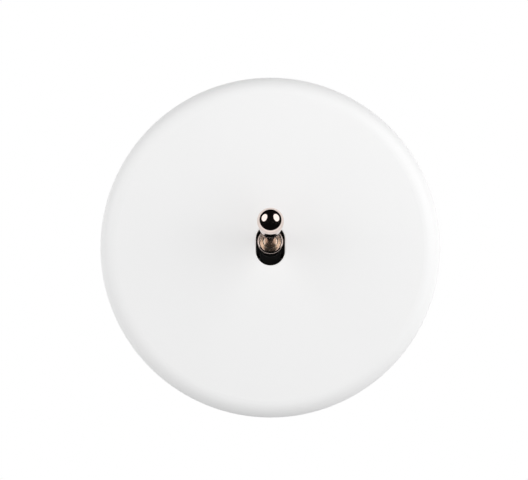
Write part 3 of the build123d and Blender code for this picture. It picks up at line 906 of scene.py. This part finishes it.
class PUSHBUTTON_OT_metalwork(bpy.types.Operator):
    """Finish the frame, screws, contacts and terminals"""

    bl_idname = "pushbutton.metalwork"
    bl_label = "Metalwork"

    def execute(self, context):
        colours = context.scene.finish_colours
        # Bright zinc on rolled steel: a cool grey whose gloss breaks up along the rolling direction.
        zinc = worked_metal(
            "Zinc-plated steel",
            colours.zinc,
            marks=(0.25 * MM, 0.25 * MM, 6 * MM),
            patch=9 * MM,
            dull=0.42,
            bright=0.26,
            relief=0.006 * MM,
        )
        # Ground steel: fine rings round the pin, bright and hard.
        pin = worked_metal(
            "Ground steel pin",
            colours.steel,
            marks=(0.12 * MM, 3 * MM, 3 * MM),
            patch=4 * MM,
            dull=0.3,
            bright=0.16,
            relief=0.003 * MM,
        )
        # Machined brass: yellow, with cutter lines and a first dull bloom of tarnish.
        brass = worked_metal(
            "Machined brass",
            colours.brass,
            marks=(0.2 * MM, 4 * MM, 0.2 * MM),
            patch=5 * MM,
            dull=0.4,
            bright=0.22,
            relief=0.005 * MM,
        )
        # Rolled copper alloy: reddish, satin along the strip.
        copper = worked_metal(
            "Rolled copper alloy",
            colours.copper,
            marks=(5 * MM, 0.2 * MM, 0.2 * MM),
            patch=4 * MM,
            dull=0.4,
            bright=0.25,
            relief=0.004 * MM,
        )
        # Silver rivets: white and dull from the heading tool.
        silver = worked_metal(
            "Headed contact silver",
            colours.silver,
            marks=(0.3 * MM, 0.3 * MM, 0.3 * MM),
            patch=1.2 * MM,
            dull=0.45,
            bright=0.3,
            relief=0.004 * MM,
        )
        dress("pivot_pin", pin)
        dress("contact_bridge", copper)
        dress("lever_insert", brass)
        for side in ("left", "right"):
            dress("fixed_contact_" + side, brass)
            dress("terminal_" + side, brass)
            dress("terminal_screw_" + side, zinc)
        for node in ("support_frame", "frame_screws"):
            dress(node, zinc)
        for node in ("bridge_tips", "fixed_tips"):
            dress(node, silver)
        return {"FINISHED"}


def light_room(scene, studio):
    """A white room behind the object, a dark one behind the camera, and white screens at both sides."""
    backdrop_way = (0, 0.94, -0.342)
    backdrop_start = 0.26
    backdrop_full = 0.32
    dark_room = 0.004
    soft_way = (0.24, -1.74, -0.46)
    screen_share = 2.2
    soft_start = 1.05
    soft_full = 2.9
    soft_least = 0.15 * studio.room_light
    soft_most = 2.0 * studio.room_light
    rear_start = 0.2
    rear_full = 0.7
    rear_least = 0.15
    half_a_bounce = 0.5
    world = bpy.data.worlds.new("White room")
    scene.world = world
    world.use_nodes = True
    tree = world.node_tree
    tree.nodes.clear()
    heading = add(tree, "ShaderNodeTexCoord").outputs["Generated"]
    ray = add(tree, "ShaderNodeLightPath")
    # Polished metal sees the white backdrop behind and below the plate and the dark room in front of it.
    backdrop = add(
        tree,
        "ShaderNodeVectorMath",
        {"operation": "DOT_PRODUCT", 1: backdrop_way},
        {0: heading},
    )
    mirrored = add(
        tree,
        "ShaderNodeMapRange",
        {"From Min": backdrop_start, "From Max": backdrop_full, "To Min": dark_room, "To Max": 1.0},
        {"Value": backdrop.outputs["Value"]},
    )
    # Plain surfaces get a soft light from the front and from white screens at both sides, a little more
    # of it from the right and from below.
    lean = add(
        tree,
        "ShaderNodeVectorMath",
        {"operation": "DOT_PRODUCT", 1: soft_way},
        {0: heading},
    )
    across = add(tree, "ShaderNodeSeparateXYZ", links={"Vector": heading})
    screens = add(
        tree,
        "ShaderNodeMath",
        {"operation": "MULTIPLY"},
        {0: across.outputs["X"], 1: across.outputs["X"]},
    )
    both = add(
        tree,
        "ShaderNodeMath",
        {"operation": "MULTIPLY_ADD", 1: screen_share},
        {0: screens.outputs["Value"], 2: lean.outputs["Value"]},
    )
    front = add(
        tree,
        "ShaderNodeMapRange",
        {"From Min": soft_start, "From Max": soft_full, "To Min": soft_least, "To Max": soft_most},
        {"Value": both.outputs["Value"]},
    )
    # The white backdrop lights the back of the housing.
    rear = add(
        tree,
        "ShaderNodeMapRange",
        {"From Min": rear_start, "From Max": rear_full, "To Min": rear_least, "To Max": 1.0},
        {"Value": across.outputs["Y"]},
    )
    soft = add(
        tree,
        "ShaderNodeMath",
        {"operation": "MAXIMUM"},
        {0: front.outputs["Result"], 1: rear.outputs["Result"]},
    )
    # What the polished lever throws back onto the plate is soft light too.
    direct_mirror = add(
        tree,
        "ShaderNodeMath",
        {"operation": "LESS_THAN", 1: half_a_bounce},
        {0: ray.outputs["Diffuse Depth"]},
    )
    mirror = add(
        tree,
        "ShaderNodeMath",
        {"operation": "MULTIPLY"},
        {0: ray.outputs["Is Glossy Ray"], 1: direct_mirror.outputs["Value"]},
    )
    glossy = add(
        tree,
        "ShaderNodeMix",
        links={0: mirror.outputs["Value"], 2: soft.outputs["Value"], 3: mirrored.outputs["Result"]},
    )
    seen = add(
        tree,
        "ShaderNodeMath",
        {"operation": "MAXIMUM"},
        {0: ray.outputs["Is Camera Ray"], 1: ray.outputs["Is Transmission Ray"]},
    )
    strength = add(
        tree,
        "ShaderNodeMix",
        {3: 1.0},
        {0: seen.outputs["Value"], 2: glossy.outputs[0]},
    )
    background = add(
        tree,
        "ShaderNodeBackground",
        {"Color": (1, 1, 1, 1)},
        {"Strength": strength.outputs[0]},
    )
    add(tree, "ShaderNodeOutputWorld", links={"Surface": background.outputs["Background"]})


def softbox(name, heading, distance, power, roll, studio):
    """A rounded softbox that faces the plate, rolled about its beam.

    A nearer one is smaller and weaker, so that the lever mirrors both alike, and its light falls off
    across the plate."""
    towards = Vector(heading).normalized()
    bpy.ops.object.select_all(action="DESELECT")
    bpy.ops.object.light_add(type="AREA", location=towards * distance)
    lamp = bpy.context.object
    lamp.name = name
    lamp.rotation_euler = towards.to_track_quat("Z", "Y").to_euler()
    lamp.rotation_euler.rotate_axis("Z", roll)
    lamp.data.shape = "ELLIPSE"
    lamp.data.size = studio.lamp_width * distance
    lamp.data.size_y = studio.lamp_height * distance
    lamp.data.energy = power * distance ** 2
    lamp.visible_camera = False


def matt_paper(colours, studio):
    # Seamless studio paper: a matt white with faint fibre, fading into the white room at its rim.
    fibre_width = 6 * MM
    fade_start = 0.4 * studio.floor_radius
    fade_end = 0.95 * studio.floor_radius
    fade_least = 0.6
    material, tree, shader, place = surface("Matt studio paper", {"Roughness": 0.9})
    fibre = add(
        tree,
        "ShaderNodeTexNoise",
        {"Scale": 1 / fibre_width, "Detail": 3.0},
        {"Vector": place},
    )
    tint = add(
        tree,
        "ShaderNodeMix",
        {"data_type": "RGBA", 6: rgba(colours.fibre), 7: rgba(colours.paper)},
        {0: fibre.outputs["Fac"]},
    )
    tree.links.new(tint.outputs[2], shader.inputs["Base Color"])
    reach = add(tree, "ShaderNodeVectorMath", {"operation": "LENGTH"}, {0: place})
    fade = add(
        tree,
        "ShaderNodeMapRange",
        {"From Min": fade_start, "From Max": fade_end, "To Min": fade_least},
        {"Value": reach.outputs["Value"]},
    )
    ray = add(tree, "ShaderNodeLightPath")
    seen = add(
        tree,
        "ShaderNodeMath",
        {"operation": "MAXIMUM"},
        {0: ray.outputs["Is Camera Ray"], 1: ray.outputs["Is Glossy Ray"]},
    )
    share = add(
        tree,
        "ShaderNodeMath",
        {"operation": "MULTIPLY"},
        {0: fade.outputs["Result"], 1: seen.outputs["Value"]},
    )
    white = add(tree, "ShaderNodeEmission", {"Strength": 1.0})
    mixed = add(
        tree,
        "ShaderNodeMixShader",
        links={0: share.outputs["Value"], 1: shader.outputs["BSDF"], 2: white.outputs["Emission"]},
    )
    output = next(node for node in tree.nodes if node.type == "OUTPUT_MATERIAL")
    tree.links.new(mixed.outputs["Shader"], output.inputs["Surface"])
    return material


def lay_floor(paper, studio):
    """A round sheet of studio paper under the object, left out of what other surfaces reflect."""
    bpy.ops.object.select_all(action="DESELECT")
    bpy.ops.mesh.primitive_circle_add(
        vertices=FLOOR_SIDES,
        radius=studio.floor_radius,
        fill_type="NGON",
        location=(0, 0, -studio.floor_drop),
    )
    floor = bpy.context.object
    floor.name = "studio_floor"
    bpy.ops.object.mode_set(mode="EDIT")
    bpy.ops.mesh.inset(thickness=studio.floor_radius / 2)
    bpy.ops.object.mode_set(mode="OBJECT")
    bpy.ops.object.transform_apply(location=True)
    floor.data.materials.append(paper)
    floor.visible_glossy = False
    floor.visible_diffuse = False


def place_camera(scene, studio):
    """A camera in front of the plate, with a lens that shows the plate as wide as in the photograph."""
    eye = Vector((-studio.camera_left, -studio.camera_distance, studio.camera_up))
    bpy.ops.object.camera_add(location=eye, rotation=(radians(90), 0, 0))
    camera = bpy.context.object
    camera.name = "photo_camera"
    rim_distance = studio.camera_distance - (PLATE_HIGH[1] - PLATE_LOW[1]) / 2
    view_width = 2 * PLATE_RADIUS * studio.photo_width / studio.plate_pixels
    camera.data.lens = camera.data.sensor_width * rim_distance / view_width
    scene.camera = camera


class PUSHBUTTON_OT_stage(bpy.types.Operator):
    """Set up the floor, the room, the softboxes and the camera"""

    bl_idname = "pushbutton.stage"
    bl_label = "Stage"

    def execute(self, context):
        scene = context.scene
        studio = scene.studio_settings
        scene.view_settings.view_transform = "Standard"
        light_room(scene, studio)
        softbox(
            "softbox_left",
            studio.left_heading,
            studio.left_distance,
            studio.left_power,
            studio.lamp_roll,
            studio,
        )
        softbox(
            "softbox_right",
            studio.right_heading,
            studio.right_distance,
            studio.right_power,
            -studio.lamp_roll,
            studio,
        )
        lay_floor(matt_paper(scene.finish_colours, studio), studio)
        place_camera(scene, studio)
        return {"FINISHED"}


OPERATORS = (
    PUSHBUTTON_OT_plate,
    PUSHBUTTON_OT_lever,
    PUSHBUTTON_OT_springs,
    PUSHBUTTON_OT_mouldings,
    PUSHBUTTON_OT_metalwork,
    PUSHBUTTON_OT_stage,
)


class PUSHBUTTON_PT_pieces(bpy.types.Panel):
    """Lists the pieces of the lever pushbutton and its stage"""

    bl_label = "Lever pushbutton"
    bl_space_type = "VIEW_3D"
    bl_region_type = "UI"
    bl_category = "Lever pushbutton"

    def draw(self, context):
        for operator in OPERATORS:
            self.layout.operator(operator.bl_idname)


def register():
    for kind in (*GROUPS.values(), *OPERATORS, PUSHBUTTON_PT_pieces):
        bpy.utils.register_class(kind)
    for name, kind in GROUPS.items():
        setattr(bpy.types.Scene, name, PointerProperty(type=kind))


def unregister():
    for name in GROUPS:
        delattr(bpy.types.Scene, name)
    for kind in (PUSHBUTTON_PT_pieces, *OPERATORS, *GROUPS.values()):
        bpy.utils.unregister_class(kind)


def main():
    register()
    bpy.ops.pushbutton.plate()
    bpy.ops.pushbutton.lever()
    bpy.ops.pushbutton.springs()
    bpy.ops.pushbutton.mouldings()
    bpy.ops.pushbutton.metalwork()
    bpy.ops.pushbutton.stage()


if __name__ == "__main__":
    main()
